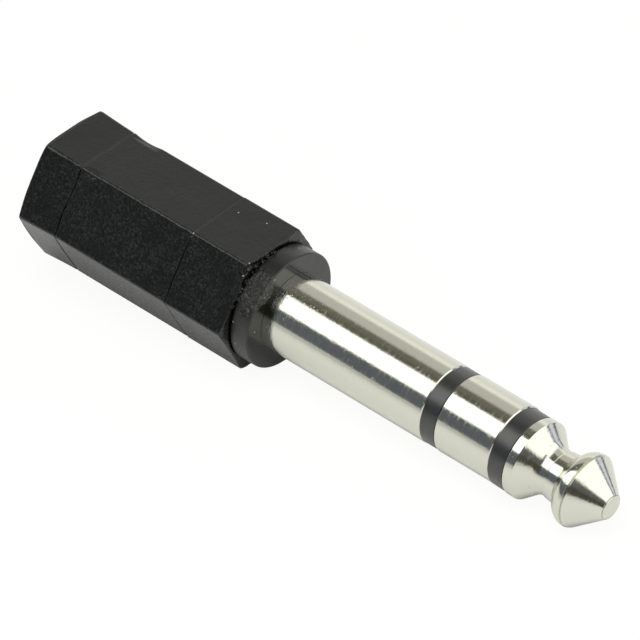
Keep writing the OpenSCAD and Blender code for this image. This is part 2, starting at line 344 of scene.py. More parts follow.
@dataclass(frozen=True)
class Fleck:
    """A pale fleck, at a place along the axis, a distance from it and an angle round it in degrees."""

    x: float
    radius: float
    angle: float
    core: float = 0.04
    rim: float = 0.08
    strength: float = 0.8
    colour: Colour = tone(205, 208, 196)

    def apply(self, surface: Surface) -> None:
        """Paint the fleck on a surface.

        Args:
            surface: The surface, which is changed.
        """
        graph = surface.graph
        centre = scaled(around(self.x, self.radius, self.angle), MM)
        away = graph.measure("DISTANCE", graph.place(), centre)
        share = (1 - away.ramp(self.core * MM, self.rim * MM)) * self.strength
        surface.colour = graph.blend(share, surface.colour, self.colour)


@dataclass(frozen=True)
class RoughSides:
    """Coarser, patchy grain on the two flats that face along a direction."""

    way: Triple
    start: float = 4.75
    fade: float = 0.2
    grain: float = 0.2
    peaks: tuple[float, float] = (0.42, 0.8)
    patch: float = 1.5
    patchy: tuple[float, float] = (0.25, 0.6)
    least: float = 0.4
    depth: float = 0.017
    polish: float = 0.025

    def apply(self, surface: Surface) -> None:
        """Roughen the two flats of a surface.

        Args:
            surface: The surface, which is changed.
        """
        graph = surface.graph
        along = abs(graph.measure("DOT_PRODUCT", graph.place(), self.way))
        rough = along.ramp(self.start * MM, (self.start + self.fade) * MM)
        uneven = graph.cloud(self.patch, 2).ramp(*self.patchy)
        peaks = graph.cloud(self.grain, 3).ramp(*self.peaks)
        height = peaks * rough * (self.least + uneven * (1 - self.least))
        surface.normal = graph.relief(height, self.depth, surface.normal)
        surface.roughness = surface.roughness - rough * self.polish


@dataclass(frozen=True)
class TornPatch:
    """A torn, paler patch with a wavering edge and crumbs on it."""

    centre: Triple
    reach: float = 1.5
    core: float = 0.75
    waver: float = 0.6
    waver_size: float = 0.5
    crumb_size: float = 0.2
    crumbs: tuple[float, float] = (0.45, 0.7)
    colour: Colour = tone(80, 78, 74)
    pale: float = 0.2
    pale_crumbs: float = 0.55
    matt: float = 0.1
    depth: float = 0.12

    def apply(self, surface: Surface) -> None:
        """Tear the patch out of a surface.

        Args:
            surface: The surface, which is changed.
        """
        graph = surface.graph
        away = graph.measure("DISTANCE", graph.place(), scaled(self.centre, MM))
        waver = (graph.cloud(self.waver_size, 2) - 0.5) * (self.waver * MM)
        torn = 1 - (away + waver).ramp(self.reach * self.core * MM, self.reach * MM)
        crumbs = graph.cloud(self.crumb_size, 3).ramp(*self.crumbs)
        paleness = torn * (self.pale + crumbs * self.pale_crumbs)
        surface.colour = graph.blend(paleness, surface.colour, self.colour)
        surface.roughness = surface.roughness + torn * self.matt
        surface.normal = graph.relief(crumbs * torn, self.depth, surface.normal)


@dataclass(frozen=True)
class SmoothFace:
    """A smoother front face, from a place along the axis onwards."""

    start: float
    fade: float = 0.06
    polish: float = 0.2
    levelled: float = 0.75

    def share(self, graph: Graph) -> Term:
        """Give 1 on the face and 0 behind it."""
        return graph.axes(graph.place(IN_MM))[0].ramp(self.start, self.start + self.fade)


@dataclass(frozen=True)
class MouldedPlastic:
    """Black moulded plastic with a leathery grain, slow waves and a little dust."""

    name: str
    colour: Colour
    roughness: float
    specular: float = 0.5
    grain: float = 0.2
    grain_depth: float = 0.02
    grain_haze: float = 0.2
    coarser: float = 2.3
    wave: float = 2.6
    wave_depth: float = 0.03
    wave_haze: float = 0.06
    mottle: float = 3.0
    shades: tuple[float, float] = (0.75, 1.3)
    dust: float = 0.004
    dust_spacing: float = 0.9
    dust_size: float = 0.09
    dust_strength: float = 0.8
    dust_colour: Colour = tone(165, 170, 160)
    smooth_face: SmoothFace | None = None
    features: tuple[RoughSides | TornPatch | Fleck, ...] = ()

    def torn(self, patch: TornPatch) -> "MouldedPlastic":
        """Give the same plastic with a torn patch under its other features."""
        return replace(self, features=(patch, *self.features))

    def mottled(self, graph: Graph) -> Term:
        """Give the plastic's colour, uneven and with its dust.

        Args:
            graph: The material's graph.

        Returns:
            The colour.
        """
        dark, light = (scaled(self.colour, factor) for factor in self.shades)
        colour = graph.blend(graph.cloud(self.grain * self.mottle, 3), dark, light)
        dust = graph.specks(self.dust_spacing, self.dust_size, self.dust)
        return graph.blend(dust * self.dust_strength, colour, self.dust_colour)

    def material(self) -> bpy.types.Material:
        """Build the plastic and add its features in order.

        Returns:
            The material.
        """
        made, graph = new_material(self.name)
        fine = graph.cloud(self.grain, 4)
        coarse = graph.cloud(self.grain * self.coarser, 2)
        slow = graph.cloud(self.wave, 2)
        roughness = self.roughness + (fine - 0.5) * self.grain_haze + (slow - 0.5) * self.wave_haze
        if self.smooth_face:
            face = self.smooth_face.share(graph)
            roughness = roughness - face * self.smooth_face.polish
            left = 1 - face * self.smooth_face.levelled
            fine, coarse = fine * left, coarse * left
        normal = graph.relief(slow, self.wave_depth)
        normal = graph.relief(coarse, self.grain_depth, normal)
        normal = graph.relief(fine, self.grain_depth, normal)
        surface = Surface(graph, self.mottled(graph), roughness, normal)
        for feature in self.features:
            feature.apply(surface)
        finish_surface(graph, {
            "Base Color": surface.colour, "Roughness": surface.roughness, "Normal": surface.normal,
            "Specular IOR Level": self.specular})
        return made


@dataclass(frozen=True)
class PlatedMetal:
    """Polished plating over turned metal, with turning marks, streaks, grit and tiny pits.

    The rubbed stretch starts at the plug's shoulder, and rub_way is the Y and Z of the way that it faces.
    """

    name: str
    colour: Colour
    roughness: float
    marks: float = 0.1
    mark_stretch: Triple = (1, 0.4, 0.4)
    mark_depth: float = 0.007
    streak: float = 0.12
    streak_size: float = 0.13
    streak_stretch: Triple = (1, 0.16, 0.16)
    streak_range: tuple[float, float] = (0.48, 0.72)
    haze: float = 0.05
    haze_size: float = 1.6
    haze_middle: float = 0.4
    haze_shade: float = 0.97
    rub: tuple[float, float] = (1.0, 8.0)
    rub_way: tuple[float, float] = (-0.31, 0.95)
    rub_edge: tuple[float, float] = (2.95, 3.1)
    grit: float = 0.17
    grit_size: float = 0.4
    gritty: tuple[float, float] = (0.06, 0.4)
    grit_haze: tuple[float, float] = (0.1, 0.12)
    pit: float = 0.8
    pit_size: float = 0.09
    pit_depth: float = 0.02
    pitted: float = 0.5

    def rubbed(self, graph: Graph) -> Term:
        """Give how rubbed a place is.

        Args:
            graph: The material's graph.

        Returns:
            The share from 0 to 1.
        """
        x, y, z = graph.axes(graph.place(IN_MM))
        towards = y * self.rub_way[0] + z * self.rub_way[1]
        return (x > 0.0) * (1 - x.ramp(*self.rub)) * towards.ramp(*self.rub_edge)

    def material(self) -> bpy.types.Material:
        """Build the plated metal; grit and its haze grow from their first value as a place is rubbed.

        Returns:
            The material.
        """
        made, graph = new_material(self.name)
        turning = graph.cloud(self.marks, 3, self.mark_stretch)
        streaks = graph.cloud(self.streak_size, 2, self.streak_stretch).ramp(*self.streak_range)
        pits = graph.specks(self.pit, self.pit_size, self.pitted)
        haze = graph.cloud(self.haze_size, 3)
        rubbed = self.rubbed(graph)
        grit = graph.specks(self.grit, self.grit_size, self.gritty[0] + rubbed * self.gritty[1])
        roughness = self.roughness + (haze - self.haze_middle) * self.haze + streaks * self.streak
        roughness = roughness + grit * (self.grit_haze[0] + rubbed * self.grit_haze[1])
        normal = graph.relief(turning, self.mark_depth)
        normal = graph.relief(1 - pits, self.pit_depth, normal)
        colour = graph.blend(haze, scaled(self.colour, self.haze_shade), self.colour)
        finish_surface(graph, {
            "Base Color": colour, "Metallic": 1.0, "Roughness": roughness, "Normal": normal})
        return made


@dataclass(frozen=True)
class PressedBoard:
    """Brown pressed insulating board with short fibres."""

    name: str
    colour: Colour
    roughness: float = 0.7
    fibre: float = 0.12
    fibre_stretch: Triple = (6, 1, 1)
    fibre_depth: float = 0.01
    fibre_haze: float = 0.1
    shades: tuple[float, float] = (0.7, 1.25)

    def material(self) -> bpy.types.Material:
        """Build the board.

        Returns:
            The material.
        """
        made, graph = new_material(self.name)
        fibre = graph.cloud(self.fibre, 4, self.fibre_stretch)
        dark, light = (scaled(self.colour, factor) for factor in self.shades)
        finish_surface(graph, {
            "Base Color": graph.blend(fibre, dark, light),
            "Roughness": self.roughness + (fibre - 0.5) * self.fibre_haze,
            "Normal": graph.relief(fibre, self.fibre_depth)})
        return made


FINISHES: dict[Slot, MouldedPlastic | PlatedMetal | PressedBoard] = {
    Slot.SHELL: MouldedPlastic(
        "shell plastic", (0.0046, 0.005, 0.004), 0.265, 0.54, grain_depth=0.01, wave_depth=0.045,
        features=(RoughSides(around(0, 1, 150)), Fleck(-6.34, 5.14, 76.5),
                  Fleck(-4.0, 5.29, 71), Fleck(-7.15, 5.72, 120),
                  Fleck(-7.2, 5.6, 123), Fleck(-1.9, 5.65, 118), Fleck(-1.85, 5.38, 128),
                  Fleck(-1.85, 5.2, 169))),
    Slot.COLLAR: MouldedPlastic(
        "collar plastic", (0.0036, 0.0044, 0.0031), 0.36, 0.66, grain_depth=0.01,
        smooth_face=SmoothFace(-0.08),
        features=(Fleck(-0.9, 4.72, 67), Fleck(-0.03, 4.5, 115), Fleck(-0.02, 4.2, 134),
                  Fleck(-1.17, 4.72, 193), Fleck(-1.45, 4.72, 169), Fleck(-0.4, 4.7, 124),
                  Fleck(-0.5, 4.72, 141), Fleck(-0.02, 3.9, 176))),
    Slot.NICKEL: PlatedMetal("nickel plate", (0.72, 0.725, 0.63), 0.1),
    Slot.INSULATOR: MouldedPlastic("insulator plastic", (0.018, 0.019, 0.018), 0.3, 0.9, grain=0.08,
                                   grain_depth=0.002, wave_depth=0.004, dust=0),
    Slot.BRASS: PlatedMetal("terminal brass", (0.72, 0.56, 0.3), 0.3),
    Slot.BOARD: PressedBoard("pressed board", (0.3, 0.16, 0.09)),
    Slot.CORE: MouldedPlastic("core plastic", (0.014, 0.014, 0.014), 0.3, grain_depth=0.002),
    Slot.BUSH: PlatedMetal("bush plating", (0.7, 0.69, 0.63), 0.12),
    Slot.BRONZE: PlatedMetal("spring bronze", (0.72, 0.5, 0.32), 0.25),
    Slot.SOLDER: PlatedMetal("bright solder", (0.62, 0.63, 0.64), 0.3, pit=0.3),
}


@dataclass(frozen=True)
class Corner:
    """A corner of a turned outline, in millimetres."""

    x: float
    radius: float
    fillet: float = 0.0


@dataclass(frozen=True)
class Station:
    """A ring of a turned or milled bar, in millimetres; flats of 0 mean a round section."""

    x: float
    radius: float
    flats: float = 0.0
    edge: float = 0.0


# Distance past each end of a fillet of the station that keeps the next stretch straight, in millimetres
HOLD = 0.012


def filleted(corners: Sequence[Corner], closed: bool, steps: int = 6) -> list[Station]:
    """Round the corners of an outline.

    Args:
        corners: The outline's corners in order.
        closed: Whether the last corner joins the first.
        steps: Number of steps in each fillet.

    Returns:
        The outline's stations, with a holding station at both ends of each fillet.
    """
    stations: list[Station] = []
    count = len(corners)
    for index, corner in enumerate(corners):
        here = Vector((corner.x, corner.radius))
        if corner.fillet <= 0:
            stations.append(Station(*here))
            continue
        last, following = corners[index - 1], corners[(index + 1) % count]
        before = (Vector((last.x, last.radius)) - here).normalized()
        after = (Vector((following.x, following.radius)) - here).normalized()
        half = before.angle(after) / 2
        reach = corner.fillet / math.tan(half)
        centre = here + (before + after).normalized() * corner.fillet / math.sin(half)
        start = here + before * reach - centre
        end = here + after * reach - centre
        stations.append(Station(*(centre + start + before * HOLD)))
        for step in range(steps + 1):
            share = step / steps
            turned = (start * (1 - share) + end * share).normalized() * corner.fillet
            stations.append(Station(*(centre + turned)))
        stations.append(Station(*(centre + end + after * HOLD)))
    if closed:
        stations.append(stations[0])
    return stations


def arc(x: float, radius: float, r: float, start: float, end: float, steps: int) -> list[Station]:
    """Give stations along an arc of an outline.

    Args:
        x: Place of the arc's centre along the axis.
        radius: Distance of that centre from the axis.
        r: The arc's own radius.
        start: First angle from the plug's direction, in degrees.
        end: Last angle.
        steps: Number of steps.

    Returns:
        The stations.
    """
    angles = [math.radians(start + (end - start) * i / steps) for i in range(steps + 1)]
    return [Station(x + r * math.cos(a), radius + r * math.sin(a)) for a in angles]


def signed_volume(mesh: bpy.types.Mesh) -> float:
    """Give a closed mesh's volume, negative where its faces point inwards.

    Args:
        mesh: The mesh.

    Returns:
        The volume in cubic metres.
    """
    total = 0.0
    for polygon in mesh.polygons:
        corners = [mesh.vertices[i].co for i in polygon.vertices]
        for second, third in zip(corners[1:], corners[2:]):
            total += corners[0].dot(second.cross(third))
    return total / 6


def baked(piece: bpy.types.Object) -> bpy.types.Object:
    """Replace a piece's modifiers by their result.

    Args:
        piece: The piece with its modifiers.

    Returns:
        The same object with a plain mesh whose faces point outwards.
    """
    bpy.context.view_layer.update()
    graph = bpy.context.evaluated_depsgraph_get()
    mesh = bpy.data.meshes.new_from_object(piece.evaluated_get(graph), depsgraph=graph)
    mesh.name = piece.name
    piece.modifiers.clear()
    piece.data = mesh
    if signed_volume(mesh) < 0:
        mesh.flip_normals()
    return piece


class NodeTool:
    """A Geometry Nodes tree with named inputs that makes pieces."""

    def __init__(self, name: str, inputs: Mapping[str, str]) -> None:
        """Start the tree.

        Args:
            name: The tree's name.
            inputs: Socket type of each input by its name, to which the material's is added.
        """
        self.tree = bpy.data.node_groups.new(name, "GeometryNodeTree")
        self.graph = Graph(self.tree)
        kinds = {**inputs, "Material": "NodeSocketMaterial"}
        sockets = self.tree.interface
        self.inputs = {key: sockets.new_socket(key, in_out="INPUT", socket_type=kind).identifier
                       for key, kind in kinds.items()}
        sockets.new_socket("Piece", in_out="OUTPUT", socket_type="NodeSocketGeometry")
        source = self.graph.node("NodeGroupInput")
        self.given = {key: Term(self.graph, source.outputs[key]) for key in kinds}

    def close(self, geometry: Term) -> None:
        """End the tree: its geometry is made real, gets the material and goes out.

        Args:
            geometry: The geometry to send out.
        """
        real = self.graph.term("GeometryNodeRealizeInstances", None, {"Geometry": geometry})
        painted = self.graph.term("GeometryNodeSetMaterial", None,
                                  {"Geometry": real, "Material": self.given["Material"]})
        self.graph.node("NodeGroupOutput", None, {0: painted})

    def make(self, name: str, mesh: bpy.types.Mesh, values: Mapping[str, object]) -> bpy.types.Object:
        """Run the tree on a mesh.

        Args:
            name: The piece's name.
            mesh: The mesh that the tree starts from.
            values: The tree's inputs by name.

        Returns:
            The finished piece as a plain mesh.
        """
        piece = bpy.data.objects.new(name, mesh)
        bpy.context.scene.collection.objects.link(piece)
        modifier = piece.modifiers.new(self.tree.name, "NODES")
        modifier.node_group = self.tree
        for key, value in values.items():
            modifier[self.inputs[key]] = value
        return baked(piece)


class Lathe(NodeTool):
    """Geometry Nodes that turn an outline round the X axis and mill flats on it.

    SIDES is the number of flats. Points closer than WELD, in metres, are merged, and TINY stands in for
    flats of 0 under a division.
    """

    SIDES = 6
    WELD = 2e-7
    TINY = 1e-9

    def __init__(self) -> None:
        """Build the tree."""
        super().__init__("turned and milled bar", {
            "Outline": "NodeSocketGeometry", "Segments": "NodeSocketInt",
            "Crowding": "NodeSocketFloat", "Softness": "NodeSocketFloat"})
        self.build()

    def sample(self, value: Term, kind: str, row: Term) -> Term:
        """Read a field of some data type at a row, which is the number of a station of the outline."""
        return self.graph.term("GeometryNodeSampleIndex", {"data_type": kind, "domain": "POINT"},
                               {"Geometry": self.given["Outline"], "Value": value, "Index": row})

    def stored(self, name: str, row: Term) -> Term:
        """Read a number that the outline's stations hold under a name.

        Args:
            name: The number's name.
            row: Number of the station.

        Returns:
            The number.
        """
        number = self.graph.term("GeometryNodeInputNamedAttribute", {"data_type": "FLOAT"},
                                 {"Name": name})
        return self.sample(number, "FLOAT", row)

    def milled_radius(self, angle: Term, flats: Term, edge: Term) -> Term:
        """Give the radius of a six-sided section with rounded corners.

        Args:
            angle: Angle round the axis.
            flats: Distance from the axis to the flats.
            edge: Radius of the rounding.

        Returns:
            The radius.
        """
        g = self.graph
        half = math.pi / self.SIDES
        off_flat = abs(g.math("FRACT", angle / (2 * half)) - 0.5) * (2 * half)
        off_corner = half - off_flat
        inner = flats - edge
        tangent = g.math("ARCTANGENT", inner * math.tan(half) / g.math("MAXIMUM", flats, self.TINY))
        on_round = off_flat > tangent
        flat_radius = flats / g.math("COSINE", off_flat)
        reach = inner / math.cos(half)
        sine = reach * g.math("SINE", off_corner)
        root = g.math("SQRT", g.math("MAXIMUM", edge * edge - sine * sine, 0.0))
        round_radius = reach * g.math("COSINE", off_corner) + root
        return flat_radius * (1 - on_round) + round_radius * on_round

    def build(self) -> None:
        """Lay out the nodes: a grid of stations by angles, placed ring by ring."""
        g = self.graph
        outline, segments = self.given["Outline"], self.given["Segments"]
        count = g.term("GeometryNodeAttributeDomainSize", {"component": "MESH"}, {0: outline})
        columns = segments + 1
        grid = g.term("GeometryNodeMeshGrid", None,
                      {"Vertices X": count, "Vertices Y": columns}, "Mesh")
        index = g.term("GeometryNodeInputIndex")
        row = g.math("FLOOR", (index + 0.5) / columns)
        share = (index - row * columns) / segments
        x, turned, _ = g.axes(self.sample(g.term("GeometryNodeInputPosition"), "FLOAT_VECTOR", row))
        flats, edge = self.stored("flats", row), self.stored("edge", row)
        sway = g.math("SINE", share * (2 * math.pi * self.SIDES)) * self.given["Crowding"]
        angle = share * (2 * math.pi) - sway / self.SIDES
        milled = self.milled_radius(angle, flats, edge)
        both = g.math("SMOOTH_MIN", turned, milled, self.given["Softness"])
        is_milled = flats > 0.0
        radius = both * is_milled + turned * (1 - is_milled)
        placed = g.term("GeometryNodeSetPosition", None,
                        {"Geometry": grid, "Position": g.round_axis(x, radius, angle)})
        merged = g.term("GeometryNodeMergeByDistance", None,
                        {"Geometry": placed, "Distance": self.WELD})
        self.close(g.term("GeometryNodeSetShadeSmooth", None, {"Geometry": merged}))

    def turn(self, name: str, outline: Sequence[Station], material: bpy.types.Material,
             segments: int = 216, crowding: float = 0.0, softness: float = 0.0) -> bpy.types.Object:
        """Turn an outline into a piece.

        Args:
            name: The piece's name.
            outline: Its stations; those of a ring end where they start.
            material: Its finish.
            segments: Number of facets round the axis.
            crowding: How far the facets draw together at the corners between flats.
            softness: Width in millimetres over which a turned and a milled face blend.

        Returns:
            The finished piece as a plain mesh.
        """
        mesh = bpy.data.meshes.new(name)
        mesh.from_pydata([(s.x * MM, s.radius * MM, 0) for s in outline],
                         [(i, i + 1) for i in range(len(outline) - 1)], [])
        for key in ("flats", "edge"):
            layer = mesh.attributes.new(key, "FLOAT", "POINT")
            layer.data.foreach_set("value", [getattr(s, key) * MM for s in outline])
        return self.make(name, mesh, {"Segments": segments, "Crowding": crowding,
                                      "Softness": softness * MM, "Material": material})


# How much further from the axis a six-sided section's corners are than its flats
CORNER_RATIO = 1 / math.cos(math.pi / Lathe.SIDES)


def fit(piece: bpy.types.Object, slot: Slot, *nodes: str) -> bpy.types.Object:
    """Let a finished piece stand for its nodes of the frame.

    Args:
        piece: The piece.
        slot: The record's slot of its finish; not used.
        nodes: The nodes that it replaces.

    Returns:
        The piece.
    """
    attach(piece, "root")
    if nodes:
        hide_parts(*nodes)
    LOG.info("%s: %d faces", piece.name, len(piece.data.polygons))
    return piece


def node_span(node: str) -> tuple[float, float, float]:
    """Give a node's rear end, front end and largest height in millimetres."""
    low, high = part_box(node)
    return low.x / MM, high.x / MM, high.z / MM


def layered(place: Vector, layers: Sequence[tuple[float, float]]) -> float:
    """Add up layers of noise at a place.

    Args:
        place: The place in millimetres.
        layers: Fineness and strength of each layer.

    Returns:
        The sum.
    """
    return sum(strength * noise.noise(place * fineness) for fineness, strength in layers)


@dataclass(frozen=True)
class Wear:
    """A worn stretch of one ridge of the shell, in millimetres past the rear witness line."""

    angle: float
    start: float
    end: float
    depth: float
    width: float

    def depth_at(self, x: float, angle: float) -> float:
        """Give the depth that is worn away at a place.

        Args:
            x: Distance past the rear witness line.
            angle: Angle round the axis in degrees.

        Returns:
            The depth in millimetres.
        """
        half = (self.end - self.start) / 2
        along = max(0.0, 1 - ((x - self.start - half) / half) ** 2)
        across = max(0.0, 1 - ((angle - self.angle) / self.width) ** 2)
        return self.depth * along * across


@dataclass
class BodyShell:
    """The moulded six-sided body shell."""

    rear_section: float = 3.65
    front_section: float = 5.49
    body_flats: float = 5.0
    front_flats: float = 5.03
    flare: float = 1.25
    rear_crown: float = 0.16
    rear_inset: float = 0.03
    rear_clear: float = 0.05
    rear_bulge: float = 0.5
    front_crown: float = 0.22
    front_inset: float = 0.1
    front_clear: float = 0.02
    front_bulge: float = 1.5
    front_step: float = 0.2
    edge: float = 0.25
    rear_edge: float = 0.36
    skin: float = 0.05
    blunt: tuple[tuple[float, float], ...] = ((60, 0.2), (180, 0.15), (-120, 0.32), (-60, 0.2), (0, 0.12))
    blunt_width: float = 26.0
    blunt_length: float = 0.5
    blunt_sink: float = 0.6
    rag: float = 0.16
    rag_angle: float = 118.0
    rag_width: float = 36.0
    rag_length: float = 0.4
    rag_least: float = 0.25
    rag_sink: float = 0.7
    rag_layers: tuple[tuple[float, float], ...] = ((1.9, 1.0), (4.3, 0.8), (9.0, 0.4))
    worn: tuple[Wear, ...] = (Wear(60, 0.2, 2.8, 0.12, 5), Wear(120, 0.1, 2.0, 0.05, 4))
    line_width: float = 0.19
    line_depth: float = 0.16
    line_slope: float = 0.5
    line_drift: float = 0.11
    drift_fineness: float = 0.7
    line_spread: float = 3.0
    line_strength: float = 0.85
    line_least: float = 0.7
    line_layers: tuple[tuple[float, float], ...] = ((0.55, 0.9), (2.1, 0.5))
    line_band: float = 0.2
    top_band: float = 0.12
    top_shares: tuple[float, float] = (0.22, 0.08)
    bore: float = 4.0
    bore_edge: float = 0.06
    wall: float = 1.2
    wall_bore: float = 2.62
    wall_bore_edge: float = 0.05
    wall_bore_cut: float = 0.015
    hold: float = 0.02
    clear: float = 0.4
    face_rings: int = 10
    rear_rings: int = 12
    flat_rings: tuple[int, ...] = (22, 20, 52, 20, 24)
    front_rings: int = 14
    segments: int = 384
    crowding: float = 0.85
    softness: float = 0.05

    def lines(self, rear: float, front: float) -> tuple[float, float]:
        """Give the places of the rear and the front witness line."""
        return rear + self.rear_section, front - self.front_section

    def flats_at(self, x: float, rear: float, front: float, rear_flats: float) -> float:
        """Give the distance from the axis to the flats.

        Args:
            x: Place along the axis.
            rear: The shell's rear end.
            front: The shell's front end.
            rear_flats: That distance at the rear end.

        Returns:
            The distance.
        """
        rear_line, front_line = self.lines(rear, front)
        if x < rear_line:
            share = (rear_line - x) / self.rear_section
            return self.body_flats + (rear_flats - self.body_flats) * share ** self.flare
        return self.body_flats if x < front_line else self.front_flats

    def edge_at(self, x: float, rear: float) -> float:
        """Give the rounding of the ridges, which is softer at the rear end."""
        share = max(0.0, 1 - (x - rear) / self.rear_section)
        return self.edge + (self.rear_edge - self.edge) * share

    def groove(self, place: Vector, line: float, top_share: float) -> float:
        """Give how deep a witness line is cut at a place on the flats.

        Args:
            place: The place in millimetres.
            line: The line's place along the axis.
            top_share: How much of the depth is left on the top flat.

        Returns:
            The depth in millimetres, less where the line fades.
        """
        around = Vector((line * self.line_spread, place.y, place.z))
        drift = self.line_drift * noise.noise(around * self.drift_fineness)
        off = abs(place.x - line - drift) / (self.line_width / 2)
        if off >= 1:
            return 0.0
        strength = self.line_strength + layered(around, self.line_layers)
        strength = max(self.line_least, min(1.0, strength))
        if place.z > self.body_flats - self.top_band:
            strength *= top_share
        return self.line_depth * min(1.0, (1 - off) / self.line_slope) * strength

    def blunted(self, past: float, angle: float) -> float:
        """Give how much a corner of the rear end is blunted, in millimetres.

        Args:
            past: Distance in front of the rear end.
            angle: Angle round the axis in degrees.

        Returns:
            The blunting.
        """
        cut_off = 0.0
        for corner, cut in self.blunt:
            turn = abs(angle - corner)
            cut_off += cut * max(0.0, 1 - min(turn, 360 - turn) / self.blunt_width) ** 2
        return cut_off * max(0.0, 1 - past / self.blunt_length) ** 2

    def ragged(self, place: Vector, front: float, angle: float) -> float:
        """Give how far the front end's moulding flash stands out at a place.

        Args:
            place: The place in millimetres.
            front: The shell's front end.
            angle: Angle round the axis in degrees.

        Returns:
            The distance in millimetres, negative where the end is torn back.
        """
        reach = (place.x - front + self.rag_length) / self.rag_length
        if reach <= 0:
            return 0.0
        near = max(0.0, 1 - ((angle - self.rag_angle) / self.rag_width) ** 2)
        share = self.rag_least + (1 - self.rag_least) * near
        return self.rag * share * reach * layered(place, self.rag_layers)

    def wear(self, mesh: bpy.types.Mesh) -> None:
        """Cut the witness lines, wear the ridges down, blunt the rear end and fray the front end.

        Args:
            mesh: The shell's mesh, which is changed.
        """
        rear, front, _ = node_span("hex_shell")
        lines = self.lines(rear, front)
        for vertex in mesh.vertices:
            place = vertex.co / MM
            if math.hypot(place.y, place.z) < self.body_flats - self.skin:
                continue
            angle = math.degrees(math.atan2(place.z, place.y))
            depth = sum(self.groove(place, line, share) for line, share in zip(lines, self.top_shares))
            depth += sum(patch.depth_at(place.x - lines[0], angle) for patch in self.worn)
            lip = self.ragged(place, front, angle)
            blunting = self.blunted(place.x - rear, angle)
            depth += max(0.0, -lip) * self.rag_sink + blunting * self.blunt_sink
            vertex.co -= Vector((0, place.y, place.z)).normalized() * depth * MM
            vertex.co.x += (lip + blunting) * MM

    def places(self, rear: float, front: float) -> list[float]:
        """List the stations along the flats, close together at the lines.

        Args:
            rear: The shell's rear end.
            front: The shell's front end.

        Returns:
            Their places along the axis.
        """
        rear_line, front_line = self.lines(rear, front)
        marks = [rear + self.rear_crown, rear_line - self.line_band, rear_line + self.line_band,
                 front_line - self.line_band, front_line + self.line_band, front - self.front_crown]
        xs: list[float] = []
        for start, end, count in zip(marks, marks[1:], self.flat_rings):
            xs += [start + (end - start) * i / count for i in range(count)]
        return xs + [marks[-1]]

    def rear_end(self, rear: float, rear_flats: float) -> list[Station]:
        """Give the stations of the rear face and its crown.

        Args:
            rear: The shell's rear end.
            rear_flats: Distance from the axis to the flats there.

        Returns:
            The stations, from the hole outwards.
        """
        hole, first = self.wall_bore, self.wall_bore + self.wall_bore_edge
        radii = [first, first + self.hold]
        radii += [hole + (rear_flats - hole) * i / self.face_rings for i in range(1, self.face_rings)]
        stations = [Station(rear, radius) for radius in radii]
        corner = rear_flats * CORNER_RATIO + self.rear_clear
        for step in range(self.rear_rings + 1):
            share = step / self.rear_rings
            radius = rear_flats - self.rear_inset + (corner - rear_flats) * share ** self.rear_bulge
            flats = rear_flats - self.rear_inset * (1 - share) ** 2
            stations.append(Station(rear + self.rear_crown * share, radius, flats, self.rear_edge))
        return stations

    def front_end(self, front: float) -> list[Station]:
        """Give the stations of the front crown and its face.

        Args:
            front: The shell's front end.

        Returns:
            The stations, from the flats inwards.
        """
        corner = self.front_flats * CORNER_RATIO
        drop = corner - self.front_flats + self.front_inset
        stations = []
        for step in range(1, self.front_rings + 1):
            share = step / self.front_rings
            radius = corner + self.front_clear - drop * share ** self.front_bulge
            x = front - self.front_crown * (1 - share)
            stations.append(Station(x, radius, self.front_flats, self.edge))
        return stations + [Station(front, self.front_flats - self.front_step)]

    def hollow(self, rear: float, front: float) -> list[Station]:
        """Give the stations of the bore and of the hole in the rear wall.

        Args:
            rear: The shell's rear end.
            front: The shell's front end.

        Returns:
            The stations, from the front backwards.
        """
        inside, hold = rear + self.wall, self.hold
        spots = [
            (front, self.bore + self.bore_edge), (front - hold, self.bore + hold),
            (front - self.bore_edge, self.bore), (front - self.front_step, self.bore),
            (inside + hold, self.bore), (inside, self.bore), (inside, self.bore - hold),
            (inside, self.wall_bore + hold), (inside, self.wall_bore), (inside - hold, self.wall_bore),
            (rear + self.wall_bore_edge + hold, self.wall_bore),
            (rear + self.wall_bore_edge, self.wall_bore),
            (rear + self.wall_bore_cut, self.wall_bore + self.wall_bore_cut)]
        return [Station(x, radius) for x, radius in spots]

    def outline(self) -> list[Station]:
        """Lay out the shell: rear face, crown, flats, front face and bore.

        Returns:
            The closed outline.
        """
        rear, front, rear_flats = node_span("hex_shell")
        stations = self.rear_end(rear, rear_flats)
        for x in self.places(rear, front):
            flats = self.flats_at(x, rear, front, rear_flats)
            turned = flats * CORNER_RATIO + self.clear
            stations.append(Station(x, turned, flats, self.edge_at(x, rear)))
        stations += self.front_end(front) + self.hollow(rear, front)
        return stations + [stations[0]]

    def build(self, lathe: Lathe, material: bpy.types.Material) -> bpy.types.Object:
        """Turn and mill the shell.

        Args:
            lathe: The tool.
            material: The shell's finish.

        Returns:
            The shell.
        """
        shell = lathe.turn("body_shell", self.outline(), material, self.segments, self.crowding,
                           self.softness)
        self.wear(shell.data)
        return fit(shell, Slot.SHELL, "hex_shell")


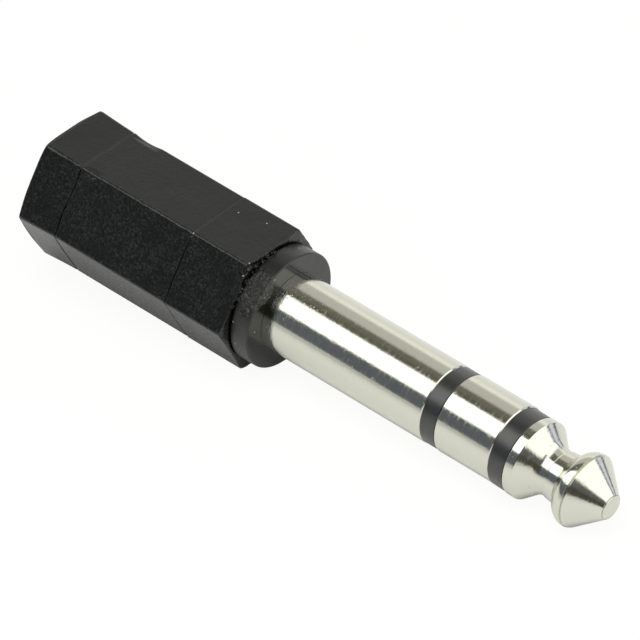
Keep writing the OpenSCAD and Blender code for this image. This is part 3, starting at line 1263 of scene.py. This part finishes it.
@dataclass
class Collar:
    """The round collar in front of the shell, with the torn mark of its gate."""

    radius: float = 4.76
    length: float = 1.6
    spigot: float = 3.98
    bore: float = 3.02
    round: float = 0.1
    edge: float = 0.03
    bore_edge: float = 0.05
    spigot_edge: float = 0.1
    mouth_edge: float = 0.12
    edge_gap: float = 0.05
    side_rings: int = 22
    face_rings: int = 10
    segments: int = 360
    gate_angle: float = 135.0
    gate_x: float = -0.8
    gate_reach: float = 2.0
    gate_squeeze: float = 1.75
    gate_fade: float = 0.35
    gate_rise: float = 0.15
    gate_lift: float = 0.1
    gate_layers: tuple[tuple[float, float], ...] = ((2.6, 1.0), (6.0, 0.8), (12.0, 0.6))
    skin: float = 0.1

    def gate_centre(self) -> Triple:
        """Give the middle of the gate mark on the collar's side."""
        return around(self.gate_x, self.radius, self.gate_angle)

    def outline(self) -> list[Station]:
        """Lay out the collar, with close stations along the side for the gate mark.

        Returns:
            The closed outline.
        """
        rear = node_span("front_collar")[0]
        first, last = self.edge_gap - self.length, -self.round - self.edge
        side = [Corner(first + (last - first) * i / self.side_rings, self.radius)
                for i in range(1, self.side_rings + 1)]
        flat = self.radius - self.round - self.bore
        face = [Corner(0, self.bore + flat * i / self.face_rings)
                for i in range(self.face_rings - 1, 1, -1)]
        return filleted([
            Corner(rear, self.bore, self.bore_edge), Corner(rear, self.spigot, self.spigot_edge),
            Corner(-self.length, self.spigot, self.edge), Corner(-self.length, self.radius - self.edge),
            Corner(-self.length + self.edge, self.radius),
            *side, Corner(0, self.radius, self.round), *face,
            Corner(0, self.bore, self.mouth_edge)], True)

    def tear(self, mesh: bpy.types.Mesh) -> None:
        """Roughen the collar's side where the gate was broken off.

        Args:
            mesh: The collar's mesh, which is changed.
        """
        centre = Vector(self.gate_centre())
        squeeze = Vector((self.gate_squeeze, 1, 1))
        for vertex in mesh.vertices:
            spot = vertex.co / MM
            away = (squeeze * (spot - centre)).length
            if away > self.gate_reach or math.hypot(spot.y, spot.z) < self.spigot + self.skin:
                continue
            fade = min(1.0, (self.gate_reach - away) / self.gate_fade)
            rough = layered(spot, self.gate_layers) + self.gate_lift
            outward = Vector((0, spot.y, spot.z)).normalized()
            vertex.co += outward * (rough * self.gate_rise * fade * MM)

    def build(self, lathe: Lathe, material: bpy.types.Material) -> bpy.types.Object:
        """Turn the collar and tear its gate mark.

        Args:
            lathe: The tool.
            material: The collar's finish.

        Returns:
            The collar.
        """
        collar = lathe.turn("round_collar", self.outline(), material, self.segments)
        self.tear(collar.data)
        return fit(collar, Slot.COLLAR, "front_collar")


@dataclass
class Flash:
    """Torn chips of moulding flash that sit in the groove between the shell and the collar."""

    count: int = 90
    angles: tuple[float, float] = (88.0, 156.0)
    places: tuple[float, float] = (-1.86, -1.46)
    radii: tuple[float, float] = (4.68, 5.0)
    size: float = 0.075
    turns: Triple = (6.28, 6.28, 6.28)
    smallest: Triple = (0.5, 0.4, 0.3)
    largest: Triple = (1.9, 1.3, 0.9)
    tear_size: float = 0.07
    seed: int = 7

    def tool(self) -> NodeTool:
        """Build the nodes that scatter the chips.

        Returns:
            The tool.
        """
        tool = NodeTool("scattered chips", {
            "Count": "NodeSocketInt", "Size": "NodeSocketFloat", "Seed": "NodeSocketInt",
            "First": "NodeSocketVector", "Last": "NodeSocketVector"})
        g, size, seed = tool.graph, tool.given["Size"], tool.given["Seed"]
        spot = self.chance(g, tool.given["First"], tool.given["Last"], seed)
        points = g.term("GeometryNodePoints", None,
                        {"Count": tool.given["Count"], "Position": g.round_axis(*g.axes(spot))})
        chip = g.term("GeometryNodeMeshIcoSphere", None, {"Radius": size, "Subdivisions": 2}, "Mesh")
        placed = g.term("GeometryNodeInstanceOnPoints", None, {
            "Points": points, "Instance": chip,
            "Rotation": self.chance(g, (0, 0, 0), self.turns, seed + 1),
            "Scale": self.chance(g, self.smallest, self.largest, seed + 2)})
        real = g.term("GeometryNodeRealizeInstances", None, {"Geometry": placed})
        bumps = g.term("ShaderNodeTexNoise", None,
                       {"Scale": 1 / (self.tear_size * MM), "Detail": 2.0}, "Color")
        shift = g.term("ShaderNodeVectorMath", {"operation": "SUBTRACT"}, {0: bumps, 1: (0.5, 0.5, 0.5)})
        shift = g.term("ShaderNodeVectorMath", {"operation": "SCALE"}, {0: shift, "Scale": size})
        tool.close(g.term("GeometryNodeSetPosition", None, {"Geometry": real, "Offset": shift}))
        return tool

    @staticmethod
    def chance(g: Graph, low: object, high: object, seed: object) -> Term:
        """Give a random vector between a lowest and a highest one for each point."""
        return g.term("FunctionNodeRandomValue", {"data_type": "FLOAT_VECTOR"},
                      {0: low, 1: high, "Seed": seed})

    def build(self, material: bpy.types.Material) -> bpy.types.Object:
        """Scatter the chips.

        Args:
            material: Their finish.

        Returns:
            The chips as one plain mesh.
        """
        first, last = ((x * MM, radius * MM, math.radians(angle))
                       for x, radius, angle in zip(self.places, self.radii, self.angles))
        chips = self.tool().make("flash_chips", bpy.data.meshes.new("flash_chips"), {
            "Count": self.count, "Size": self.size * MM, "Seed": self.seed,
            "First": first, "Last": last, "Material": material})
        return fit(chips, Slot.COLLAR)


@dataclass
class Lean:
    """The slight bend of the plug in front of its ring."""

    angle: float = 0.027
    pivot: float = 19.5
    start: float = 21.77
    seat: float = 23.19
    slack: float = 0.001
    direction: Triple = (0, -0.729, -0.684)

    def apply(self, mesh: bpy.types.Mesh) -> None:
        """Bend a piece's front part, which tilts fully in front of the seat.

        Args:
            mesh: The piece's mesh, which is changed.
        """
        towards = Vector(self.direction).normalized()
        for vertex in mesh.vertices:
            past = vertex.co.x / MM - self.start
            if past <= self.slack:
                continue
            share = min(1.0, past / (self.seat - self.start))
            height = vertex.co.dot(towards)
            vertex.co += towards * (self.angle * (vertex.co.x - self.pivot * MM))
            vertex.co.x -= self.angle * share * height


@dataclass
class Plug:
    """The turned plug: sleeve, ring, tip and rod, and the two insulators between them."""

    lean: Lean = field(default_factory=Lean)
    riveted: PlatedMetal = PlatedMetal("riveted end", (0.74, 0.74, 0.66), 0.42, marks=0.2,
                                       mark_depth=0.03, pit=0.4)
    radius: float = 3.175
    bevel: float = 0.1
    edge: float = 0.03
    sharp_edge: float = 0.02
    soft_edge: float = 0.05
    insulator: float = 3.135
    gap: float = 0.02
    sleeve_bore: float = 2.35
    shank: float = 3.0
    flange: float = 3.8
    flange_thickness: float = 0.8
    ring_tube: float = 1.8
    ring_bore: float = 1.3
    rod: float = 0.8
    land: float = 0.74
    land_edge: float = 0.14
    land_steps: int = 8
    slope_angle: float = 47.4
    slope_shares: Triple = (0.01, 0.5, 0.99)
    neck: float = 1.88
    cove: float = 1.425
    neck_place: float = 2.76
    cove_end: float = 273.0
    cove_steps: int = 30
    step_run: float = 0.05
    step_drop: float = 0.03
    ledge: float = 2.92
    ledge_radius: float = 1.95
    ledge_end: float = 3.86
    ledge_end_radius: float = 2.06
    ledge_rise: tuple[float, float] = (0.1, 0.2)
    head: float = 3.0
    rim: float = 1.2
    rim_turn: tuple[float, float] = (157.0, 86.0)
    rim_steps: int = 36
    head_place: float = 5.2
    brow: float = 0.04
    brow_edge: float = 0.015
    crease: float = 0.18
    crease_wall: float = 0.02
    crease_depth: float = 0.16
    crease_edge: float = 0.01
    cone_drop: float = 0.07
    cone_end: float = 7.72
    cone_radius: float = 1.02
    cone_edge: float = 0.04
    nub: float = 0.99
    nub_back: float = 0.025
    nub_length: float = 0.165
    nub_round: float = 0.15
    nub_dome: float = 0.5
    nub_rings: int = 14
    rivet: float = 1.3
    rivet_edge: float = 0.1
    rivet_thickness: float = 0.5

    def sleeve_outline(self) -> list[Station]:
        """Lay out the sleeve contact, with its flange and shank.

        Returns:
            The closed outline.
        """
        rear, front, _ = node_span("plug_sleeve")
        flange_front = rear + self.flange_thickness
        return filleted([
            Corner(rear, self.sleeve_bore, self.edge), Corner(rear, self.flange, self.soft_edge),
            Corner(flange_front, self.flange, self.soft_edge),
            Corner(flange_front, self.shank, self.soft_edge),
            Corner(0, self.shank, self.sharp_edge), Corner(0, self.radius, self.edge),
            Corner(front - self.bevel, self.radius, self.edge),
            Corner(front, self.radius - self.bevel, self.edge),
            Corner(front, self.sleeve_bore, self.edge)], True)

    def ring_outline(self) -> list[Station]:
        """Lay out the ring contact, with its long tube.

        Returns:
            The closed outline.
        """
        rear, front, _ = node_span("plug_ring")
        start = node_span("sleeve_ring_insulator")[1]
        return filleted([
            Corner(rear, self.ring_bore, self.edge), Corner(rear, self.ring_tube, self.edge),
            Corner(start, self.ring_tube, self.edge),
            Corner(start, self.radius - self.bevel, self.edge),
            Corner(start + self.bevel, self.radius, self.edge),
            Corner(front - self.bevel, self.radius, self.edge),
            Corner(front, self.radius - self.bevel, self.edge),
            Corner(front, self.ring_bore, self.edge)], True)

    def insulator_outline(self, node: str, behind: str, tube: float, bore: float) -> list[Station]:
        """Lay out an insulator.

        Args:
            node: The insulator's node.
            behind: The contact behind its wide end.
            tube: Radius of its long tube.
            bore: Radius of its bore.

        Returns:
            The closed outline.
        """
        rear, front, _ = node_span(node)
        start = node_span(behind)[1]
        return filleted([
            Corner(rear, bore, self.edge), Corner(rear, tube, self.edge),
            Corner(start, tube, self.edge), Corner(start, self.insulator, self.soft_edge),
            Corner(front, self.insulator, self.soft_edge), Corner(front, bore, self.edge)], True)

    def neck_outline(self, rear: float) -> list[Station]:
        """Lay out the tip from the land's edge down the slope and the cove to the ledge.

        Args:
            rear: The tip's rear end.

        Returns:
            The stations.
        """
        edge = arc(rear + self.land, self.radius - self.land_edge, self.land_edge, 90,
                   self.slope_angle, self.land_steps)
        cove = arc(rear + self.neck_place, self.neck + self.cove, self.cove,
                   180 + self.slope_angle, self.cove_end, self.cove_steps)
        run, drop = cove[0].x - edge[-1].x, edge[-1].radius - cove[0].radius
        slope = [Station(edge[-1].x + run * share, edge[-1].radius - drop * share)
                 for share in self.slope_shares]
        start, end = cove[-1], rear + self.ledge_end
        ahead, up = self.ledge_rise
        ledge = filleted([
            Corner(start.x, start.radius),
            Corner(start.x + self.step_run, self.neck - self.step_drop, self.sharp_edge),
            Corner(rear + self.ledge, self.ledge_radius, self.edge),
            Corner(end, self.ledge_end_radius, self.edge),
            Corner(end + ahead, self.ledge_end_radius + up)], False)
        return edge + slope + cove + ledge[1:-1]

    def tip_outline(self) -> list[Station]:
        """Lay out the tip: land, shoulder, coved neck, rounded head and cone.

        Returns:
            The closed outline.
        """
        rear = node_span("plug_tip")[0]
        bore = self.rod + self.gap
        behind = filleted([
            Corner(rear, bore), Corner(rear, self.radius - self.bevel, self.edge),
            Corner(rear + self.bevel, self.radius, self.edge),
            Corner(rear + self.land - HOLD, self.radius)], False)
        rim = arc(rear + self.head_place, self.head - self.rim, self.rim, *self.rim_turn,
                  self.rim_steps)
        brow_x, brow = rim[-1].x, rim[-1].radius
        end = rear + self.cone_end
        front = filleted([
            Corner(brow_x, brow), Corner(brow_x + self.brow, brow, self.brow_edge),
            Corner(brow_x + self.brow + self.crease_wall, brow - self.crease_depth, self.crease_edge),
            Corner(brow_x + self.crease, brow - self.cone_drop, self.edge),
            Corner(end, self.cone_radius, self.cone_edge), Corner(end, bore)], False)
        outline = behind + self.neck_outline(rear) + rim + front[1:]
        return outline + [outline[0]]

    def rod_outline(self) -> list[Station]:
        """Lay out the centre rod, with its rivet head and the nub in front.

        Returns:
            The outline, which starts and ends on the axis.
        """
        rear, front, _ = node_span("tip_rod")
        front -= self.nub_back
        head_front = rear + self.rivet_thickness
        nub_x = front - self.nub_length
        turns = [math.radians(90 - 90 * i / self.nub_rings) for i in range(self.nub_rings + 1)]
        dome = [Station(front - self.nub_round * (1 - math.cos(turn)),
                        self.nub - self.nub_dome * (1 - math.sin(turn))) for turn in turns]
        body = filleted([
            Corner(rear, 0), Corner(rear, self.rivet, self.rivet_edge),
            Corner(head_front, self.rivet, self.soft_edge), Corner(head_front, self.rod, self.edge),
            Corner(self.lean.start, self.rod), Corner(self.lean.seat, self.rod),
            Corner(nub_x, self.rod, self.edge), Corner(nub_x, self.nub, self.edge),
            Corner(front - self.nub_round - HOLD, self.nub)], False)
        return body + dome + [Station(front, 0)]

    def build(self, lathe: Lathe, metal: bpy.types.Material, plastic: bpy.types.Material) -> None:
        """Turn the six pieces of the plug.

        Args:
            lathe: The tool.
            metal: Finish of the contacts.
            plastic: Finish of the insulators.
        """
        riveted = self.riveted.material()
        contacts = [("sleeve_contact", "plug_sleeve", self.sleeve_outline()),
                    ("ring_contact", "plug_ring", self.ring_outline()),
                    ("tip_contact", "plug_tip", self.tip_outline()),
                    ("centre_rod", "tip_rod", self.rod_outline())]
        for name, node, outline in contacts:
            contact = lathe.turn(name, outline, metal)
            if name in ("tip_contact", "centre_rod"):
                self.lean.apply(contact.data)
            if name == "centre_rod":
                contact.data.materials[0] = riveted
            fit(contact, Slot.NICKEL, node)
        insulators = [
            ("rear_insulator", "sleeve_ring_insulator", "plug_sleeve", self.sleeve_bore, self.ring_tube),
            ("front_insulator", "ring_tip_insulator", "plug_ring", self.ring_bore, self.rod)]
        for name, node, behind, outside, inside in insulators:
            outline = self.insulator_outline(node, behind, outside - self.gap, inside + self.gap)
            insulator = lathe.turn(name, outline, plastic)
            self.lean.apply(insulator.data)
            fit(insulator, Slot.INSULATOR, node)


@dataclass
class Socket:
    """The bush at the socket's mouth."""

    bore: float = 1.8
    chamfer: float = 0.3
    nose: float = 2.6
    wall: float = 1.2
    flange: float = 3.95
    flange_thickness: float = 0.65
    edge: float = 0.05
    sharp_edge: float = 0.03
    nose_edge: float = 0.08
    mouth_edge: float = 0.06

    def outline(self) -> list[Station]:
        """Lay out the bush: nose, flange and barrel round the bore.

        Returns:
            The closed outline.
        """
        rear, front, _ = node_span("socket_bush")
        step = rear + self.wall
        return filleted([
            Corner(rear, self.bore + self.chamfer, self.edge), Corner(rear, self.nose, self.nose_edge),
            Corner(step, self.nose, self.sharp_edge), Corner(step, self.flange, self.edge),
            Corner(step + self.flange_thickness, self.flange, self.edge),
            Corner(step + self.flange_thickness, self.nose, self.sharp_edge),
            Corner(front, self.nose, self.edge), Corner(front, self.bore, self.sharp_edge),
            Corner(rear + self.chamfer, self.bore, self.mouth_edge)], True)

    def build(self, lathe: Lathe, metal: bpy.types.Material) -> bpy.types.Object:
        """Turn the bush in its metal."""
        return fit(lathe.turn("mouth_bush", self.outline(), metal), Slot.BUSH, "socket_bush")


@dataclass(frozen=True)
class Panel:
    """A soft-edged part of the surround that only glossy surfaces see.

    A direction's turn is its angle round the plug's axis, from +Y towards +Z in degrees, and its reach
    along the axis runs from -1, straight back, to 1, straight ahead.
    """

    name: str
    turn: tuple[float, float]
    reach: tuple[float, float]
    colour: Colour
    soft: float = 3.0
    fade: float = 0.1

    def share(self, turn: Term, reach: Term) -> Term:
        """Give how much of the panel a direction sees.

        Args:
            turn: The direction's turn.
            reach: The direction's reach.

        Returns:
            The share from 0 to 1.
        """
        def between(value: Term, ends: tuple[float, float], soft: float) -> Term:
            """Rise at one end and fall at the other."""
            low, high = ends
            return value.ramp(low - soft, low + soft) * (1 - value.ramp(high - soft, high + soft))
        return between(turn, self.turn, self.soft) * between(reach, self.reach, self.fade)


SURROUND: tuple[Panel, ...] = (
    Panel("bright strip", (19, 34), (-2, 0.3), (1.06, 1.04, 0.98), 5),
    Panel("grey screen", (35, 70), (-2, 0.1), (0.6, 0.6, 0.57), 4),
    Panel("overhead flag", (67, 99), (-2, 0.1), (0.17, 0.165, 0.135), 4),
    Panel("flag's dark half", (86, 99), (-2, 0.1), (0.11, 0.107, 0.088), 6),
    Panel("front soft box", (25, 112), (0.15, 2), (1.5, 1.5, 1.48), 6),
    Panel("soft box", (99, 143), (-2, 0.34), (1.9, 1.9, 1.88), 4, 0.03),
    Panel("window frame", (1, 26), (-0.1, 0.75), (0.13, 0.14, 0.25), 2),
    Panel("window", (8, 20), (-0.1, 0.75), (0.87, 0.88, 1.0), 2.5),
    Panel("dark room", (142.5, 180.5), (-2, 0.94), (0.126, 0.135, 0.16)),
    Panel("dark room's end", (142.5, 180.5), (0.2, 0.94), (0.075, 0.07, 0.055), 3, 0.15),
    Panel("dark room ahead", (118, 147), (0.33, 0.94), (0.126, 0.13, 0.13), 5, 0.04),
    Panel("dark post ahead", (91, 121), (0.41, 0.56), (0.07, 0.07, 0.07), 3, 0.02),
)


@dataclass
class Studio:
    """The camera, the pale floor and the lights.

    The camera's place is followed by the ways to its right, up and back. The floor lies against the
    X and Z of two touches, one on the body and one on the plug's tip.
    """

    place: Triple = (283.53, -353.84, 377.87)
    right: Triple = (0.7553, 0.6534, 0.0511)
    up: Triple = (-0.4495, 0.4597, 0.7659)
    back: Triple = (0.4769, -0.6015, 0.6409)
    lens: float = 450.0
    sensor: float = 36.0
    clip: tuple[float, float] = (10.0, 20000.0)
    rear_touch: tuple[float, float] = (-1.8, -5.03)
    front_touch: tuple[float, float] = (28.25, -3.17)
    floor_size: float = 1600.0
    floor_colour: Colour = (0.85, 0.85, 0.84)
    floor_light: Colour = (1, 1, 0.99)
    gap: float = 0.02
    middle: float = 5.0
    half_length: float = 27.0
    plain_from: tuple[float, float] = (9.0, 22.0)
    fall_from: tuple[float, float] = (5.0, 75.0)
    near_level: float = 0.93
    fall: float = 0.34
    floor_glow: float = 1.02
    camera_share: float = 0.92
    mirror_share: float = 0.12
    wall: Colour = (0.9, 0.9, 0.88)
    sky: float = 0.6
    key_place: Triple = (40, -180, 520)
    key_size: tuple[float, float] = (420, 300)
    key_power: float = 1.8

    def camera(self) -> None:
        """Make the camera that sees the adapter as the photograph does."""
        data = bpy.data.cameras.new("camera")
        data.lens = self.lens
        data.sensor_width = self.sensor
        data.clip_start, data.clip_end = (distance * MM for distance in self.clip)
        made = bpy.data.objects.new("camera", data)
        turn = Matrix((self.right, self.up, self.back)).transposed()
        made.matrix_world = Matrix.Translation(Vector(self.place) * MM) @ turn.to_4x4()
        bpy.context.scene.collection.objects.link(made)
        bpy.context.scene.camera = made

    @staticmethod
    def rays(graph: Graph) -> tuple[Term, Term]:
        """Tell the rays from the camera and those from a mirror or glass.

        Args:
            graph: The graph of a material or of the world.

        Returns:
            1 for the camera's rays, and 1 for those from a mirror or glass.
        """
        path = graph.node("ShaderNodeLightPath")
        camera, glossy, through = (
            Term(graph, path.outputs[name])
            for name in ("Is Camera Ray", "Is Glossy Ray", "Is Transmission Ray"))
        return camera, graph.math("MINIMUM", glossy + through, 1.0)

    def floor(self) -> None:
        """Lay the floor against the two places that the adapter rests on.

        Mirrors see its real light and shadow close to the adapter and a plain glow further off,
        which falls off towards the camera.
        """
        (rear_x, rear_z), (front_x, front_z) = self.rear_touch, self.front_touch
        slope = (front_z - rear_z) / (front_x - rear_x)
        half = self.floor_size / 2
        base = rear_z - self.gap - slope * rear_x
        corners = [(x * MM, y * MM, (base + slope * x) * MM)
                   for x, y in ((-half, -half), (half, -half), (half, half), (-half, half))]
        mesh = bpy.data.meshes.new("floor")
        mesh.from_pydata(corners, [], [(0, 1, 2, 3)])
        mesh.materials.append(self.floor_finish())
        made = bpy.data.objects.new("floor", mesh)
        bpy.context.scene.collection.objects.link(made)

    def floor_finish(self) -> bpy.types.Material:
        """Make the floor's white finish, lit by itself where the camera or a mirror sees it.

        Returns:
            The material.
        """
        material, graph = new_material("white floor")
        camera, mirror = self.rays(graph)
        x, y, _ = graph.axes(graph.place(IN_MM))
        away = graph.math("MAXIMUM", abs(y), abs(x - self.middle) - self.half_length)
        plain = away.ramp(*self.plain_from)
        fall = (0 - y).ramp(*self.fall_from)
        glow = camera * self.floor_glow + mirror * (self.near_level - fall * self.fall)
        share = camera * self.camera_share + mirror * (self.mirror_share + (1 - self.mirror_share) * plain)
        diffuse = graph.node("ShaderNodeBsdfDiffuse", None, {"Color": (*self.floor_colour, 1)})
        bright = graph.node("ShaderNodeEmission", None,
                            {"Color": (*self.floor_light, 1), "Strength": glow})
        mixed = graph.node("ShaderNodeMixShader", None, {
            0: share, 1: diffuse.outputs[0], 2: bright.outputs[0]})
        graph.node("ShaderNodeOutputMaterial", None, {"Surface": mixed.outputs[0]})
        return material

    def world(self) -> None:
        """Make the surround: plain white to the camera, with the panels for what is glossy."""
        made = bpy.data.worlds.new("white surround")
        made.use_nodes = True
        graph = Graph(made.node_tree)
        camera, mirror = self.rays(graph)
        x, y, z = graph.axes(graph.term("ShaderNodeTexCoord", output="Generated"))
        turn = 90 + graph.math("ARCTAN2", 0 - y, z) * (180 / math.pi)
        surround: Colour | Term = self.wall
        for panel in SURROUND:
            surround = graph.blend(panel.share(turn, x), surround, panel.colour)
            surround.socket.node.label = panel.name
        colour = graph.blend(mirror, (1.0, 1.0, 1.0), surround)
        strength = self.sky + graph.math("MINIMUM", camera + mirror, 1.0) * (1 - self.sky)
        white = graph.node("ShaderNodeBackground", None, {"Color": colour, "Strength": strength})
        graph.node("ShaderNodeOutputWorld", None, {"Surface": white.outputs[0]})
        made.cycles.sampling_method = "NONE"
        bpy.context.scene.world = made

    def lamp(self, name: str, place: Vector, width: float, height: float, power: float) -> None:
        """Hang a soft lamp that faces the adapter.

        Args:
            name: The lamp's name.
            place: Where it hangs.
            width: Its width.
            height: Its height.
            power: Its power in watts.
        """
        data = bpy.data.lights.new(name, "AREA")
        data.shape = "RECTANGLE"
        data.size, data.size_y = width * MM, height * MM
        data.energy = power
        made = bpy.data.objects.new(name, data)
        made.location = place * MM
        made.rotation_euler = place.to_track_quat("Z", "Y").to_euler()
        made.visible_glossy = False
        bpy.context.scene.collection.objects.link(made)

    def build(self) -> None:
        """Set up the whole studio."""
        bpy.context.scene.view_settings.view_transform = "Standard"
        self.camera()
        self.world()
        self.lamp("key lamp", Vector(self.key_place), *self.key_size, self.key_power)
        self.floor()


def dress_inner_nodes(materials: Mapping[Slot, bpy.types.Material]) -> None:
    """Give every node that keeps its own mesh its finish.

    Args:
        materials: The material of each slot.
    """
    for part in frame["record"]["subparts"]:
        node = frame["nodes"][part["node"]]
        if node.hide_render:
            continue
        node.data.materials.clear()
        node.data.materials.append(materials[Slot(part["material_slot"])])
        LOG.info("%s: %s", node.name, part["material_slot"])


def main() -> None:
    """Build the adapter piece by piece and set up the studio."""
    logging.basicConfig(level=logging.INFO, format="%(message)s")
    collar = Collar()
    torn = FINISHES[Slot.COLLAR].torn(TornPatch(collar.gate_centre()))
    materials = {slot: finish.material() for slot, finish in {**FINISHES, Slot.COLLAR: torn}.items()}
    lathe = Lathe()
    BodyShell().build(lathe, materials[Slot.SHELL])
    collar.build(lathe, materials[Slot.COLLAR])
    Flash().build(materials[Slot.COLLAR])
    Plug().build(lathe, materials[Slot.NICKEL], materials[Slot.INSULATOR])
    Socket().build(lathe, materials[Slot.BUSH])
    dress_inner_nodes(materials)
    Studio().build()


if __name__ == "__main__":
    main()
